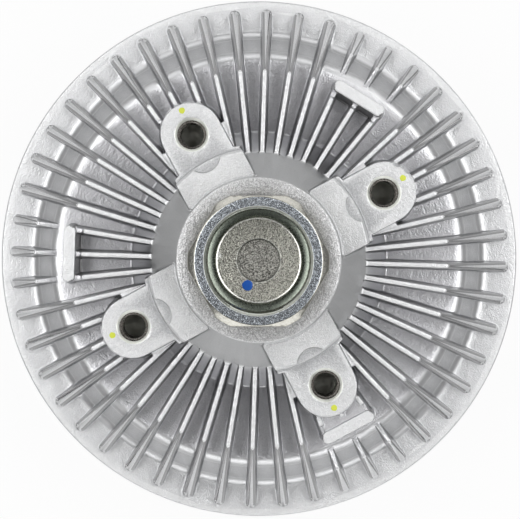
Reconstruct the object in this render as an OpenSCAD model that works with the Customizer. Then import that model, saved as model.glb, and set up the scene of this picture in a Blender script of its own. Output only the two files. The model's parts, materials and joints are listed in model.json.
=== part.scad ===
// Viscous fan clutch: a finned housing and cover that run on a threaded hub shaft.
// Z is the turning axis. The front fin tips lie on Z = 0 and the hub points up.

/* [Levels along the axis] */
// height of the front fins under the cover's centre face
front_fin_h = 9; // [8:0.5:12]
// thickness of the cover's centre face
dome_t = 4; // [3:0.5:5]
// depth of the fluid reservoir
reservoir_h = 7.5; // [7:0.5:10]
// thickness of the valve plate
plate_t = 1; // [0.8:0.1:1.5]
// gap between the valve plate and the rotor
plate_gap = 1.8; // [1.5:0.1:2.5]
// thickness of the rotor's disc
rotor_t = 5.5; // [4.5:0.5:7]
// gap between the rotor and the casing's faces
face_gap = 0.7; // [0.5:0.1:1]
// thickness of the housing's base wall
base_wall = 5.5; // [5:0.5:7]
// height of the base above the rim flange
base_rise = 7; // [6:0.5:8]
// height of the rear fins above the base
fin_h = 10; // [8:0.5:12]
// height of the fan pads above the fin tops
pad_rise = 2.5; // [1.5:0.5:4]
// height of the pilot arms above the fan pads
pilot_h = 3.5; // [2.5:0.5:5]
// height of the boss ring above the pilot arms
ring_rise = 1; // [0.8:0.2:2]
// gap between the boss ring and the hexagon
hex_gap = 1.5; // [1:0.5:3]
// thickness of the hexagon under the hub bore
hub_floor = 4; // [3.5:0.5:6]

/* [Housing] */
// outer diameter of the rim
housing_d = 152; // [149:1:160]
// thickness of the rim flange
flange_t = 4; // [3.5:0.5:5]
// height of the rim from the rolled lip to the flange's rear face
rim_h = 12; // [11:0.5:13]
// thickness of the rolled lip
lip_t = 1.6; // [1.2:0.2:2]
// wall of the rim outside the cover
skirt_t = 3; // [2.5:0.5:3.5]
// inset of the fins' outer ends from the rim
fin_inset = 2.6; // [2:0.2:4]
// number of rear fins
fin_count = 48; // [48:12:60]
// width of a rear fin along its top
fin_top_w = 1.4; // [1.1:0.1:1.8]
// draft of the cast walls in degrees
draft = 2.8; // [1.5:0.1:3.5]
// radius inside the cavity's wall where the fin crests end
crest_inset = 6.4; // [5.5:0.1:7.5]
// wall of the bearing boss at its rear end
boss_wall = 3.8; // [3.4:0.2:4.4]
// thickness of the boss lip behind the bearing
boss_lip = 2.5; // [2:0.5:3]

/* [Fan seat] */
// diameter of the circle through the fan bolt holes
bolt_circle_d = 81; // [79:0.5:84]
// diameter of the tapped hole before threading
tap_d = 6.8; // [5:0.1:8.5]
// depth of the tapped hole
tap_depth = 12; // [9:0.5:13]
// width of a fan pad
pad_w = 17.6; // [16:0.2:18.4]
// diameter of the fan pilot
pilot_d = 63.5; // [62.5:0.5:65]
// width of a pilot arm
arm_w = 21; // [20:0.5:22]

/* [Hub shaft] */
// size of the hexagon across its flats
hex_af = 36; // [34:0.5:38]
// diameter the hexagon's corners are turned to
hex_corner_d = 39; // [38.4:0.2:42]
// outer diameter of the hub thread
thread_d = 30; // [27:0.5:31]
// pitch of the hub thread
thread_pitch = 1.5; // [1:0.25:2]
// depth of the hub bore to its raised disc
bore_depth = 14.5; // [12:0.5:18]
// depth of the groove round the raised disc
groove_h = 1.6; // [0.8:0.2:2]
// diameter of the shaft in the bearing
shaft_d = 17; // [16:0.5:17.5]
// diameter of the shaft in the rotor
rotor_seat_d = 15; // [13:0.5:15.5]

/* [Bearing] */
// outer diameter of the bearing
bearing_d = 40; // [39.6:0.2:41]
// width of the bearing
bearing_w = 17.5; // [17:0.5:19]
// diameter of a ball
ball_d = 6.35; // [5.8:0.05:6.4]
// number of balls in a row
ball_count = 9; // [7:1:10]
// running clearance at the balls
ball_gap = 0.06; // [0.04:0.01:0.08]

/* [Rotor and lands] */
// radius of the valve plate
plate_r = 43; // [41:0.5:44]
// number of land rings on the rotor
land_count = 4; // [3:1:4]
// width of a land ring
land_w = 1.5; // [1.2:0.1:1.6]
// side gap between land rings
land_gap = 0.5; // [0.4:0.1:0.6]
// height of a land ring
land_h = 5.4; // [4:0.2:6]
// gap at the rotor's edge
edge_gap = 1; // [0.8:0.1:1.4]

/* [Cover] */
// number of front fins
front_fin_count = 36; // [24:4:44]
// width of a front fin at its tip
front_fin_w = 1.6; // [1.2:0.1:2]
// wall of the cover behind the land rings
cover_wall = 3.5; // [3:0.5:4]
// gap between the cover's rim and the housing
rim_gap = 0.15; // [0.1:0.05:0.25]
// thickness of the cover seal
seal_t = 2.2; // [1.8:0.1:2.4]

/* [Valve and coil] */
// diameter of the valve shaft
valve_d = 6; // [5:0.5:6.5]
// running clearance round the valve shaft
valve_gap = 0.05; // [0.03:0.01:0.08]
// width of the valve arm
valve_arm_w = 9; // [8:0.5:10]
// swing of the valve in degrees
valve_swing = 35; // [25:1:40]
// radius of a fluid port
port_r = 3.2; // [2.5:0.1:3.6]
// thickness of the bimetal strip
coil_t = 1; // [0.8:0.1:1.2]
// distance from one turn of the coil to the next
coil_pitch = 2.6; // [2.2:0.1:2.8]
// number of turns of the coil
coil_turns = 6; // [4:1:6]

/* [Hidden] */
$fn = 96;
// levels from the front fin tips upwards
dome_z = front_fin_h;
floor_z = dome_z + dome_t;
plate_z = floor_z + reservoir_h;
rotor_z = plate_z + plate_t + plate_gap;
cavity_z = rotor_z + rotor_t + face_gap;
base_z = cavity_z + base_wall;
flange_z = base_z - base_rise;
fin_z = base_z + fin_h;
pad_z = fin_z + pad_rise;
arm_z = pad_z + pilot_h;
stake_h = 2.2;
ring_z = max(arm_z + ring_rise, cavity_z + stake_h + bearing_w + boss_lip);
hex_z = ring_z + hex_gap;
hex_h = hub_floor + bore_depth;
top_z = hex_z + hex_h;
seat_z = flange_z - flange_t;
lip_z = flange_z - rim_h;
land_floor_z = rotor_z - land_h - face_gap;
cover_face_z = land_floor_z - cover_wall;
bearing_z = ring_z - boss_lip - bearing_w;
// radii from the lands outwards
housing_r = housing_d / 2;
skirt_r = housing_r - skirt_t;
wall_r = plate_r + 2.5;
land_pitch = 2 * (land_w + land_gap);
rotor_r = wall_r + land_gap + (land_count - 1) * land_pitch + land_w;
cavity_r = rotor_r + edge_gap;
crest_r = cavity_r - crest_inset;
fin_tip_r = housing_r - fin_inset;
fin_step = 360 / fin_count;
lean = tan(draft);
fin_foot_z = flange_z - 1;
fin_foot_w = fin_top_w + 2 * (fin_z - fin_foot_z) * lean;
// boss and fan seat
bearing_r = bearing_d / 2;
boss_r = bearing_r + boss_wall;
pilot_r = pilot_d / 2;
cone_r = pilot_r - 0.95;
wall_foot_r = cone_r + fin_h * 0.62;
ear_r = bolt_circle_d / 2;
ear_end_r = ear_r + 0.4;
ear_angles = [0, 90, 180, 270];
// cast bars near the crest
bar_w = 3.4;
bar_l = 16.3;
bar_r = crest_r + 0.3;
bar_steps = [for (i = [1, 5, 9]) round(fin_count * i / 12)];
low_fin_z = base_z + 1.1;
low_fin_w = fin_top_w * 0.85;
crest_round = 6;
root_round = 5.5;
// hub
thread_r = thread_d / 2;
bore_r = (thread_d - 1.0825 * thread_pitch) / 2;
neck_r = 12.5;
// bearing
pitch_r = (bearing_r + shaft_d / 2) / 2;
ball_r = ball_d / 2;
race_r = ball_r + ball_gap;
bearing_seal_t = 0.6;
bearing_seal_inset = 0.2;
row_gap = 0.375;
row_inset = bearing_seal_inset + bearing_seal_t + row_gap + ball_r;
row_z = [bearing_z + row_inset, bearing_z + bearing_w - row_inset];
row_stagger = 180 / ball_count;
cage_t = ball_r * 0.78;
cage_gap = 0.2;
shoulder_in = pitch_r - 2.35;
shoulder_out = pitch_r + 2.35;
// valve and coil
valve_r = valve_d / 2;
valve_arm_t = 1;
valve_arm_r = plate_r - 10.5;
valve_arm_z = plate_z - 0.2 - valve_arm_t;
port_at = valve_arm_r - 4;
rivet_at = plate_r - 6.2;
rivet_angle = 70;
rivet_r = 1.2;
rivet_l = reservoir_h * 0.5;
coil_r = valve_r + 2.2;
coil_z = 1.2;
coil_top_z = dome_z - 1.2;
coil_end = coil_r + (2 * coil_turns - 1) * coil_pitch / 2 + coil_pitch / 2;
coil_angle = 5;
post_x = coil_end + 2;
post_l = 3.8;
front_fin_r = post_x + post_l + 1.5;

// the piece to draw, or all of them

// Points of one rounded corner between the lines b-a and b-c.
function corner(a, b, c, n) =
    let (
        r = b[2],
        p = [b[0], b[1]],
        u = [a[0] - b[0], a[1] - b[1]] / norm([a[0] - b[0], a[1] - b[1]]),
        v = [c[0] - b[0], c[1] - b[1]] / norm([c[0] - b[0], c[1] - b[1]]),
        half = acos(max(-1, min(1, u * v))) / 2,
        o = p + (u + v) / norm(u + v) * r / sin(half),
        p0 = p + u * r / tan(half),
        p1 = p + v * r / tan(half),
        a0 = atan2(p0[1] - o[1], p0[0] - o[0]),
        a1 = atan2(p1[1] - o[1], p1[0] - o[0]),
        turn = (a1 - a0 + 540) % 360 - 180
    )
    [for (i = [0 : n]) o + r * [cos(a0 + turn * i / n), sin(a0 + turn * i / n)]];

// Outline through points [x, y, corner radius].
function rounded(p, n = 3) = [
    for (i = [0 : len(p) - 1])
        each p[i][2] > 0
            ? corner(p[(i + len(p) - 1) % len(p)], p[i], p[(i + 1) % len(p)], n)
            : [[p[i][0], p[i][1]]]
];

// Prism along +X from x0 to x1 with drafted sides.
module drafted_bar(x0, x1, z0, z1, top_w, side = lean) {
    foot = top_w / 2 + (z1 - z0) * side;
    translate([x0, 0, 0])
        rotate([90, 0, 90])
            linear_extrude(x1 - x0)
                polygon([[-foot, z0], [foot, z0], [top_w / 2, z1], [-top_w / 2, z1]]);
}

// Rounded end that closes a drafted bar at x, towards +X.
module drafted_end(x, z0, z1, top_w, side = lean) {
    foot = top_w / 2 + (z1 - z0) * side;
    translate([x, 0, 0])
        rotate([0, 0, -90])
            rotate_extrude(angle = 180)
                polygon([[0, z0], [foot, z0], [top_w / 2, z1], [0, z1]]);
}

// Plate of the given radius and height profile, thick enough to trim one fin.
module fin_trim(outline) {
    rotate([90, 0, 0])
        linear_extrude(8, center = true)
            polygon(outline);
}

module fin_blade() {
    tip_x = fin_tip_r - fin_foot_w / 2;
    drafted_bar(boss_r + 2, tip_x, fin_foot_z, fin_z, fin_top_w);
    drafted_end(tip_x, fin_foot_z, fin_z, fin_top_w);
}

module full_fin() {
    intersection() {
        fin_blade();
        fin_trim([
            [boss_r + 1, fin_foot_z - 1], [fin_tip_r + 1, fin_foot_z - 1],
            [fin_tip_r + 1, flange_z + 0.5], [fin_tip_r, flange_z + 1.2],
            [crest_r, fin_z], [boss_r + 1, fin_z]
        ]);
    }
}

// Fin that a cast bar parts into a long inner stretch and a low outer ridge.
module parted_fin() {
    intersection() {
        fin_blade();
        fin_trim([
            [boss_r + 1, fin_foot_z + 2], [bar_r, fin_foot_z + 2], [bar_r, fin_z - 1.4],
            [bar_r - 3.2, fin_z - 1], [bar_r - 3.5, fin_z], [boss_r + 1, fin_z]
        ]);
    }
    low_fin();
}

// Ridge that rises from the flange and runs out on the crest of the base.
module low_fin() {
    tip_x = fin_tip_r - fin_foot_w / 2;
    side = (fin_foot_w - low_fin_w) / 2 / (low_fin_z - fin_foot_z);
    slope = (fin_z - flange_z - 1.2) / (fin_tip_r - crest_r);
    intersection() {
        union() {
            drafted_bar(cavity_r - 4, tip_x, fin_foot_z, low_fin_z, low_fin_w, side);
            drafted_end(tip_x, fin_foot_z, low_fin_z, low_fin_w, side);
        }
        fin_trim([
            [cavity_r - 3, fin_foot_z - 1], [fin_tip_r + 1, fin_foot_z - 1],
            [fin_tip_r + 1, flange_z + 0.5], [fin_tip_r, flange_z + 1.2],
            [crest_r + (fin_z - low_fin_z) / slope, low_fin_z], [cavity_r - 3, base_z - 0.9]
        ]);
    }
}

module cast_bar() {
    rotate([0, 0, 90]) {
        half = bar_l / 2 - bar_w / 2;
        drafted_bar(-half, half, cavity_z + 1, fin_z, bar_w);
        drafted_end(half, cavity_z + 1, fin_z, bar_w);
        rotate([0, 0, 180])
            drafted_end(half, cavity_z + 1, fin_z, bar_w);
    }
}

// Solid outline of the housing before its fins, arms and cavity.
module housing_body() {
    rotate_extrude()
        polygon(rounded([
            [0, lip_z, 0], [housing_r, lip_z, 1.2], [housing_r, flange_z, 0.8],
            [cavity_r + 5.6, flange_z, root_round], [cavity_r - 1.4, base_z, crest_round],
            [wall_foot_r, base_z, 1.2], [cone_r, fin_z, 0], [boss_r, arm_z, 0],
            [boss_r - 0.9, ring_z, 0], [0, ring_z, 0]
        ]));
}

// Hollow that holds the rotor, the bearing and the cover's rim.
module housing_hollow() {
    rotate_extrude()
        polygon([
            [0, lip_z - 1], [skirt_r - 2.6, lip_z - 1], [skirt_r - 2.6, lip_z + lip_t], [skirt_r, lip_z + lip_t],
            [skirt_r, seat_z], [cavity_r, seat_z], [cavity_r, cavity_z - 0.8], [cavity_r - 0.8, cavity_z],
            [bearing_r + 0.6, cavity_z], [bearing_r - 1.2, bearing_z - 0.8], [bearing_r - 1.2, bearing_z],
            [bearing_r, bearing_z], [bearing_r, bearing_z + bearing_w],
            [neck_r + 2.5, bearing_z + bearing_w], [neck_r + 2.5, ring_z + 1], [0, ring_z + 1]
        ]);
}

// Arm, shoulder and fan pad towards +X.
module fan_ear() {
    root_z = cavity_z + 1;
    drafted_bar(boss_r - 2, ear_end_r, root_z, pad_z, pad_w);
    drafted_end(ear_end_r, root_z, pad_z, pad_w);
    intersection() {
        drafted_bar(boss_r - 2, pilot_r + 4, root_z, pad_z, arm_w);
        cylinder(r = pilot_r + 1.3, h = pad_z);
    }
    intersection() {
        drafted_bar(boss_r - 2, pilot_r + 1, pad_z - 2, arm_z, arm_w);
        rotate_extrude()
            polygon([
                [0, pad_z - 3], [pilot_r, pad_z - 3], [pilot_r, arm_z - 0.7],
                [pilot_r - 0.7, arm_z], [0, arm_z]
            ]);
    }
    for (side = [0, 1])
        mirror([0, side, 0])
            fin_web();
}

// Fill between a fan pad's side and the fin next to it.
module fin_web() {
    side = tan(2 * fin_step);
    translate([0, 0, cavity_z + 1])
        linear_extrude(fin_z - cavity_z - 1)
            polygon([
                [pilot_r - 2, pad_w / 2 - 3], [ear_r - 0.8, pad_w / 2 - 3],
                [ear_r - 0.8, (ear_r - 0.8) * side], [pilot_r - 2, (pilot_r - 2) * side]
            ]);
}

module tapped_hole() {
    tap_r = tap_d / 2;
    mouth = tap_r + 1.5;
    translate([ear_r, 0, pad_z - tap_depth])
        rotate_extrude()
            polygon([
                [0, -tap_r * 0.6], [tap_r, 0], [tap_r, tap_depth - 1.3],
                [mouth, tap_depth], [mouth, tap_depth + 1], [0, tap_depth + 1]
            ]);
}

// Shallow mark on an arm's top.
module arm_mark() {
    translate([pilot_r + 2, 0, arm_z - 0.45])
        cylinder(r = 5, h = 3);
}

// Chips along the edge of one fan pad, where the gate was broken off.
module gate_chips() {
    translate([ear_end_r, 0, pad_z])
        for (i = [0 : 3])
            rotate([0, 0, 6 + 11 * i])
                translate([pad_w / 2 + 0.9, 0, 0.2])
                    sphere(r = 1.3 + 0.25 * (i % 2) + 0.1 * i);
}

module housing() {
    color([0.72, 0.73, 0.74])
    difference() {
        union() {
            housing_body();
            for (i = [0 : fin_count - 1])
                rotate([0, 0, i * fin_step]) {
                    if (min([for (b = bar_steps) abs(i - b)]) <= 1)
                        parted_fin();
                    else
                        full_fin();
                }
            for (a = ear_angles)
                rotate([0, 0, a])
                    fan_ear();
            for (b = bar_steps)
                rotate([0, 0, b * fin_step]) {
                    translate([bar_r, 0, 0])
                        cast_bar();
                    // where a bar lies behind a fan pad the space between them is solid
                    if ((b * fin_step) % 90 < 0.01)
                        drafted_bar(ear_end_r, bar_r, cavity_z + 1, fin_z - 0.8, bar_l - 3.2);
                }
        }
        housing_hollow();
        gate_chips();
        for (a = ear_angles)
            rotate([0, 0, a]) {
                tapped_hole();
                arm_mark();
            }
    }
}

module front_fin() {
    foot_w = front_fin_w + 1.2;
    top = land_floor_z - 1.5;
    intersection() {
        translate([front_fin_r, 0, 0])
            rotate([90, 0, 90])
                linear_extrude(skirt_r - 4 - front_fin_r)
                    polygon([
                        [-front_fin_w / 2, 0], [front_fin_w / 2, 0], [foot_w / 2, top], [-foot_w / 2, top]
                    ]);
        fin_trim([
            [front_fin_r - 1, dome_z * 0.4], [front_fin_r + 4, 0], [crest_r + 3, 0],
            [skirt_r - 3.8, cover_face_z - 1.6], [skirt_r - 3.8, top], [wall_r + 3, top],
            [plate_r - 3, dome_z + dome_t * 0.6], [front_fin_r - 1, dome_z + dome_t * 0.6]
        ]);
    }
}

module cover_body() {
    rotate_extrude()
        polygon(rounded([
            [valve_r + valve_gap, dome_z, 0], [plate_r + 1, dome_z, 1.5],
            [plate_r + 4.5, cover_face_z, 1.5], [skirt_r - 6, cover_face_z, 0],
            [skirt_r - 3, lip_z + 0.2, 0], [skirt_r - 3, lip_z + lip_t, 0],
            [skirt_r - rim_gap, lip_z + lip_t, 0.4], [skirt_r - rim_gap, seat_z, 0],
            [cavity_r, seat_z, 0], [cavity_r, land_floor_z, 0.6], [wall_r, land_floor_z, 0.6],
            [wall_r, rotor_z - face_gap, 0], [plate_r + 0.2, rotor_z - face_gap, 0],
            [plate_r + 0.2, plate_z, 0], [plate_r - 2, plate_z, 0], [plate_r - 2, floor_z, 1],
            [valve_r + 5, floor_z, 1], [valve_r + 5, floor_z + 4.6, 0.5],
            [valve_r + valve_gap, floor_z + 4.6, 0]
        ]));
    for (i = [0 : land_count - 2]) {
        r = wall_r + land_gap + i * land_pitch + land_w + land_gap;
        rotate_extrude()
            translate([r, land_floor_z - 1])
                square([land_w, rotor_z - face_gap - land_floor_z + 1]);
    }
}

// Post that takes the coil's outer end.
module coil_post() {
    rotate([0, 0, coil_angle])
        difference() {
            translate([post_x, -3.4, coil_z])
                cube([post_l, 6.8, dome_z + 1 - coil_z]);
            translate([post_x - 1, -coil_t / 2 - 0.1, coil_z - 1])
                cube([post_l + 2, coil_t + 0.2, coil_top_z + 1.2 - coil_z]);
        }
}

// Lugs that stop the valve arm at both ends of its swing.
module stop_lugs() {
    stop_r = 1.6;
    at = plate_r - 22;
    reach = asin((valve_arm_w / 2 + stop_r + 0.3) / at);
    for (a = [-reach, valve_swing + reach])
        rotate([0, 0, a])
            translate([at, 0, floor_z - 1])
                cylinder(r = stop_r, h = plate_z - 0.4 - floor_z + 1);
}

module rivet_posts() {
    for (a = [rivet_angle, rivet_angle + 90, rivet_angle + 180, rivet_angle + 270])
        rotate([0, 0, a])
            translate([rivet_at, 0, floor_z - 1])
                cylinder(r = 2.5 * rivet_r, h = plate_z - floor_z + 1);
}

module rivet_shanks() {
    for (a = [rivet_angle, rivet_angle + 90, rivet_angle + 180, rivet_angle + 270])
        rotate([0, 0, a])
            translate([rivet_at, 0, plate_z - rivet_l])
                cylinder(r = rivet_r, h = rivet_l + plate_t);
}

module cover() {
    color([0.7, 0.71, 0.72])
    difference() {
        union() {
            cover_body();
            for (i = [0 : front_fin_count - 1])
                rotate([0, 0, (i + 0.5) * 360 / front_fin_count])
                    front_fin();
            coil_post();
            stop_lugs();
            rivet_posts();
        }
        // groove of the cover seal
        rotate_extrude()
            translate([skirt_r - 3.6, seat_z - seal_t])
                square([seal_t + 0.3, seal_t + 1]);
        // groove of the valve shaft seal
        rotate_extrude()
            translate([valve_r, floor_z + 1])
                square([2, 2.2]);
        rivet_shanks();
    }
}

module cover_seal() {
    color([0.08, 0.08, 0.08])
    rotate_extrude()
        translate([skirt_r - 3.6 + seal_t / 2 + 0.15, seat_z - seal_t / 2])
            circle(r = seal_t / 2);
}

module hub_shaft() {
    disc_z = top_z - bore_depth;
    groove_z = disc_z - groove_h;
    // the thread runs out above the disc
    relief_r = thread_r + 0.3;
    relief_z = disc_z + 0.6;
    chamfer = (hex_corner_d - hex_af + 1) / 2;
    color([0.5, 0.52, 0.45])
    difference() {
        union() {
            // hexagon with turned corners
            intersection() {
                rotate([0, 0, 31.85])
                    translate([0, 0, hex_z])
                        linear_extrude(hex_h)
                            circle(r = hex_af / sqrt(3), $fn = 6);
                rotate_extrude()
                    polygon([
                        [0, hex_z], [hex_af / 2 - 0.5, hex_z], [hex_corner_d / 2, hex_z + chamfer * 0.58],
                        [hex_corner_d / 2, top_z - chamfer * 0.58], [hex_af / 2 - 0.5, top_z], [0, top_z]
                    ]);
            }
            // shaft with its peened end
            rotate_extrude()
                polygon([
                    [0, rotor_z - 1], [rotor_seat_d / 2 + 0.6, rotor_z - 1], [rotor_seat_d / 2 + 1.2, rotor_z],
                    [rotor_seat_d / 2, rotor_z], [rotor_seat_d / 2, bearing_z],
                    [shaft_d / 2, bearing_z], [shaft_d / 2, bearing_z + bearing_w],
                    [neck_r - 1, bearing_z + bearing_w], [neck_r, bearing_z + bearing_w + 1],
                    [neck_r, hex_z + 1], [0, hex_z + 1]
                ]);
        }
        // threaded bore with a raised disc at its bottom
        rotate_extrude()
            polygon(rounded([
                [0, disc_z, 0], [bore_r - 2, disc_z, 0.3], [bore_r - 1.8, groove_z, 0.2],
                [relief_r, groove_z, 0.6], [relief_r, relief_z, 0],
                [bore_r, relief_z + 1.1, 0], [bore_r, top_z - 0.9, 0],
                [thread_r + 0.1, top_z, 0], [thread_r + 0.1, top_z + 1, 0], [0, top_z + 1, 0]
            ]));
    }
}

module rotor() {
    color([0.75, 0.75, 0.76])
    difference() {
        rotate_extrude()
            union() {
                polygon([
                    [rotor_seat_d / 2, rotor_z], [rotor_r, rotor_z], [rotor_r, rotor_z + rotor_t - 0.8],
                    [rotor_r - 0.8, rotor_z + rotor_t], [neck_r + 1, rotor_z + rotor_t],
                    [shoulder_in - 0.4, bearing_z], [rotor_seat_d / 2, bearing_z]
                ]);
                for (i = [0 : land_count - 1])
                    translate([wall_r + land_gap + i * land_pitch, rotor_z - land_h])
                        square([land_w, land_h + 1]);
            }
        for (a = [45, 135, 225, 315])
            rotate([0, 0, a])
                translate([plate_r - 8, 0, rotor_z - 1])
                    cylinder(r = 2.5, h = rotor_t + 2);
    }
}

module bearing_outer_ring() {
    color([0.6, 0.61, 0.63])
    rotate_extrude()
        difference() {
            translate([shoulder_out, bearing_z])
                square([bearing_r - shoulder_out, bearing_w]);
            for (z = row_z)
                translate([pitch_r, z])
                    circle(r = race_r);
        }
}

module bearing_inner_ring() {
    color([0.6, 0.61, 0.63])
    rotate_extrude()
        difference() {
            translate([shaft_d / 2, bearing_z])
                square([shoulder_in - shaft_d / 2, bearing_w]);
            for (z = row_z)
                translate([pitch_r, z])
                    circle(r = race_r);
        }
}

module ball_row(z, start) {
    color([0.8, 0.8, 0.82])
    for (i = [0 : ball_count - 1])
        rotate([0, 0, start + i * 360 / ball_count])
            translate([pitch_r, 0, z])
                sphere(r = ball_r);
}

// Cage with pockets that open towards the bearing's end.
module cage_row(z, start, inward) {
    depth = (row_z[1] - row_z[0]) / 2 - cage_gap;
    finger = ball_r * 0.32;
    z0 = inward > 0 ? z - finger : z - depth;
    color([0.75, 0.68, 0.5])
    difference() {
        rotate_extrude()
            translate([pitch_r - cage_t / 2, z0])
                square([cage_t, depth + finger]);
        for (i = [0 : ball_count - 1])
            rotate([0, 0, start + i * 360 / ball_count])
                translate([pitch_r, 0, z])
                    sphere(r = race_r + ball_gap);
    }
}

module balls_rear_row() {
    ball_row(row_z[1], row_stagger);
}

module balls_front_row() {
    ball_row(row_z[0], 0);
}

module cage_rear_row() {
    cage_row(row_z[1], row_stagger, -1);
}

module cage_front_row() {
    cage_row(row_z[0], 0, 1);
}

module bearing_seal(z) {
    color([0.1, 0.1, 0.1])
    rotate_extrude()
        translate([shoulder_in + 0.1, z])
            square([shoulder_out - shoulder_in - 0.1, bearing_seal_t]);
}

module bearing_seal_rear() {
    bearing_seal(bearing_z + bearing_w - bearing_seal_inset - bearing_seal_t);
}

module bearing_seal_front() {
    bearing_seal(bearing_z + bearing_seal_inset);
}

module valve_plate() {
    color([0.65, 0.66, 0.68])
    difference() {
        translate([0, 0, plate_z])
            cylinder(r = plate_r, h = plate_t);
        translate([0, 0, plate_z - 1])
            cylinder(r = valve_r + 1.5, h = plate_t + 2);
        for (a = [0, 180])
            rotate([0, 0, a])
                translate([port_at, 0, plate_z - 1])
                    cylinder(r = port_r, h = plate_t + 2);
        rivet_shanks();
    }
}

module plate_rivets() {
    color([0.7, 0.7, 0.7])
    for (a = [rivet_angle, rivet_angle + 90, rivet_angle + 180, rivet_angle + 270])
        rotate([0, 0, a])
            translate([rivet_at, 0, 0])
                rotate_extrude()
                    polygon([
                        [0, plate_z - rivet_l], [rivet_r, plate_z - rivet_l], [rivet_r, plate_z + plate_t],
                        [2 * rivet_r, plate_z + plate_t], [1.6 * rivet_r, plate_z + plate_t + rivet_r * 0.6],
                        [0, plate_z + plate_t + rivet_r * 0.6]
                    ]);
}

module valve_arm() {
    color([0.62, 0.63, 0.65])
    difference() {
        translate([0, 0, valve_arm_z])
            linear_extrude(valve_arm_t)
                intersection() {
                    square([2 * valve_arm_r + 2, valve_arm_w], center = true);
                    circle(r = valve_arm_r);
                }
        translate([0, 0, valve_arm_z - 1])
            cylinder(r = valve_r - 0.8, h = valve_arm_t + 2);
    }
}

module valve_shaft() {
    color([0.66, 0.66, 0.68])
    difference() {
        rotate_extrude()
            polygon([
                [0, coil_z - 0.4], [valve_r - 0.3, coil_z - 0.4], [valve_r, coil_z - 0.1],
                [valve_r, dome_z - 0.7], [valve_r - 0.5, dome_z - 0.7], [valve_r - 0.5, dome_z - 0.15],
                [valve_r, dome_z - 0.15], [valve_r, valve_arm_z], [valve_r - 0.8, valve_arm_z],
                [valve_r - 0.8, valve_arm_z + valve_arm_t], [valve_r + 0.3, valve_arm_z + valve_arm_t],
                [valve_r - 0.3, valve_arm_z + valve_arm_t + 0.8], [0, valve_arm_z + valve_arm_t + 0.8]
            ]);
        // slot for the coil's inner end
        rotate([0, 0, coil_angle])
            translate([-valve_r - 1, -coil_t / 2 - 0.1, coil_z - 1])
                cube([valve_d + 2, coil_t + 0.2, coil_top_z + 1.1 - coil_z]);
    }
}

module valve_shaft_seal() {
    color([0.08, 0.08, 0.08])
    rotate_extrude()
        translate([valve_r + valve_gap + 0.96, floor_z + 2.1])
            circle(r = 0.94);
}

module valve_shaft_clip() {
    color([0.45, 0.45, 0.47])
    rotate([0, 0, coil_angle + 30])
        rotate_extrude(angle = 300)
            translate([valve_r - 0.5, dome_z - 0.7])
                square([2.3, 0.5]);
}

// Strip wound from half circles about two centres, with both ends bent radially.
module bimetal_coil() {
    h = coil_top_z - coil_z;
    step = coil_pitch / 2;
    color([0.62, 0.56, 0.44])
    rotate([0, 0, coil_angle])
    translate([0, coil_t / 2, coil_z]) {
        for (k = [0 : 2 * coil_turns - 1])
            translate([k % 2 == 0 ? 0 : step, 0, 0])
                rotate([0, 0, k % 2 == 0 ? 0 : 180])
                    rotate_extrude(angle = 180)
                        translate([coil_r + k * step - coil_t / 2, 0])
                            square([coil_t, h]);
        translate([-valve_r + 0.4, -coil_t, 0])
            cube([coil_r + coil_t / 2 + valve_r - 0.4, coil_t, h]);
        translate([coil_end - coil_t / 2, -coil_t, 0])
            cube([post_x + post_l - coil_end, coil_t, h]);
    }
}

housing();
cover();
cover_seal();
hub_shaft();
rotor();
bearing_outer_ring();
bearing_inner_ring();
balls_rear_row();
balls_front_row();
cage_rear_row();
cage_front_row();
bearing_seal_rear();
bearing_seal_front();
valve_plate();
plate_rivets();
valve_arm();
valve_shaft();
valve_shaft_seal();
valve_shaft_clip();
bimetal_coil();
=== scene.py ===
"""Looks of a viscous fan clutch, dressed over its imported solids."""

import json
import logging
import math
from dataclasses import dataclass, field
from enum import Enum
from functools import cache
from typing import Callable, ClassVar, Sequence

import bmesh
import bpy
from mathutils import Matrix, Vector
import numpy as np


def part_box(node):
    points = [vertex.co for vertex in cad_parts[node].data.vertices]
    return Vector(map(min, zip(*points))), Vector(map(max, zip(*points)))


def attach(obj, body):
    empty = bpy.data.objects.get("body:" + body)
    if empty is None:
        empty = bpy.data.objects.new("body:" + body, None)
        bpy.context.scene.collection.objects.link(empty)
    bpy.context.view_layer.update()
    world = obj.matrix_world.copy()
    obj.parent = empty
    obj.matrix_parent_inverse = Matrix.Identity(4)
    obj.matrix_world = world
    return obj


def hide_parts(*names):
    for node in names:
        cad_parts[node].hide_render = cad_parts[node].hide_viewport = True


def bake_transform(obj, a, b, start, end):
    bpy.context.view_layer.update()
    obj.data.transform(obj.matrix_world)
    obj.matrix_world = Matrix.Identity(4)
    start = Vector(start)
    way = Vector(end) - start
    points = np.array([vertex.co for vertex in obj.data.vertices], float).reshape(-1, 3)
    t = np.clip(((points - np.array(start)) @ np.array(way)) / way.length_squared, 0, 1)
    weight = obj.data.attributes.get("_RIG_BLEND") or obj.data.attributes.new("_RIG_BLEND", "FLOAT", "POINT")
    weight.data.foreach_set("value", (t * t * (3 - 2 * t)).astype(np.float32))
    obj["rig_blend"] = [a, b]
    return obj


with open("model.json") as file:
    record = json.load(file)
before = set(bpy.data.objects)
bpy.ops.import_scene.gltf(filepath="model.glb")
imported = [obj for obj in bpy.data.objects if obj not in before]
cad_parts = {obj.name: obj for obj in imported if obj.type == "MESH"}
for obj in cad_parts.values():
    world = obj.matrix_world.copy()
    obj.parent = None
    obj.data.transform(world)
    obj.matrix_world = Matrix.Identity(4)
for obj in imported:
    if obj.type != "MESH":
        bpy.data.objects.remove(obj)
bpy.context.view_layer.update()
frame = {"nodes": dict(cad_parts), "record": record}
LOG = logging.getLogger("fan_clutch")
MM = 0.001
SHARP_ANGLE = math.radians(40)

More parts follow.
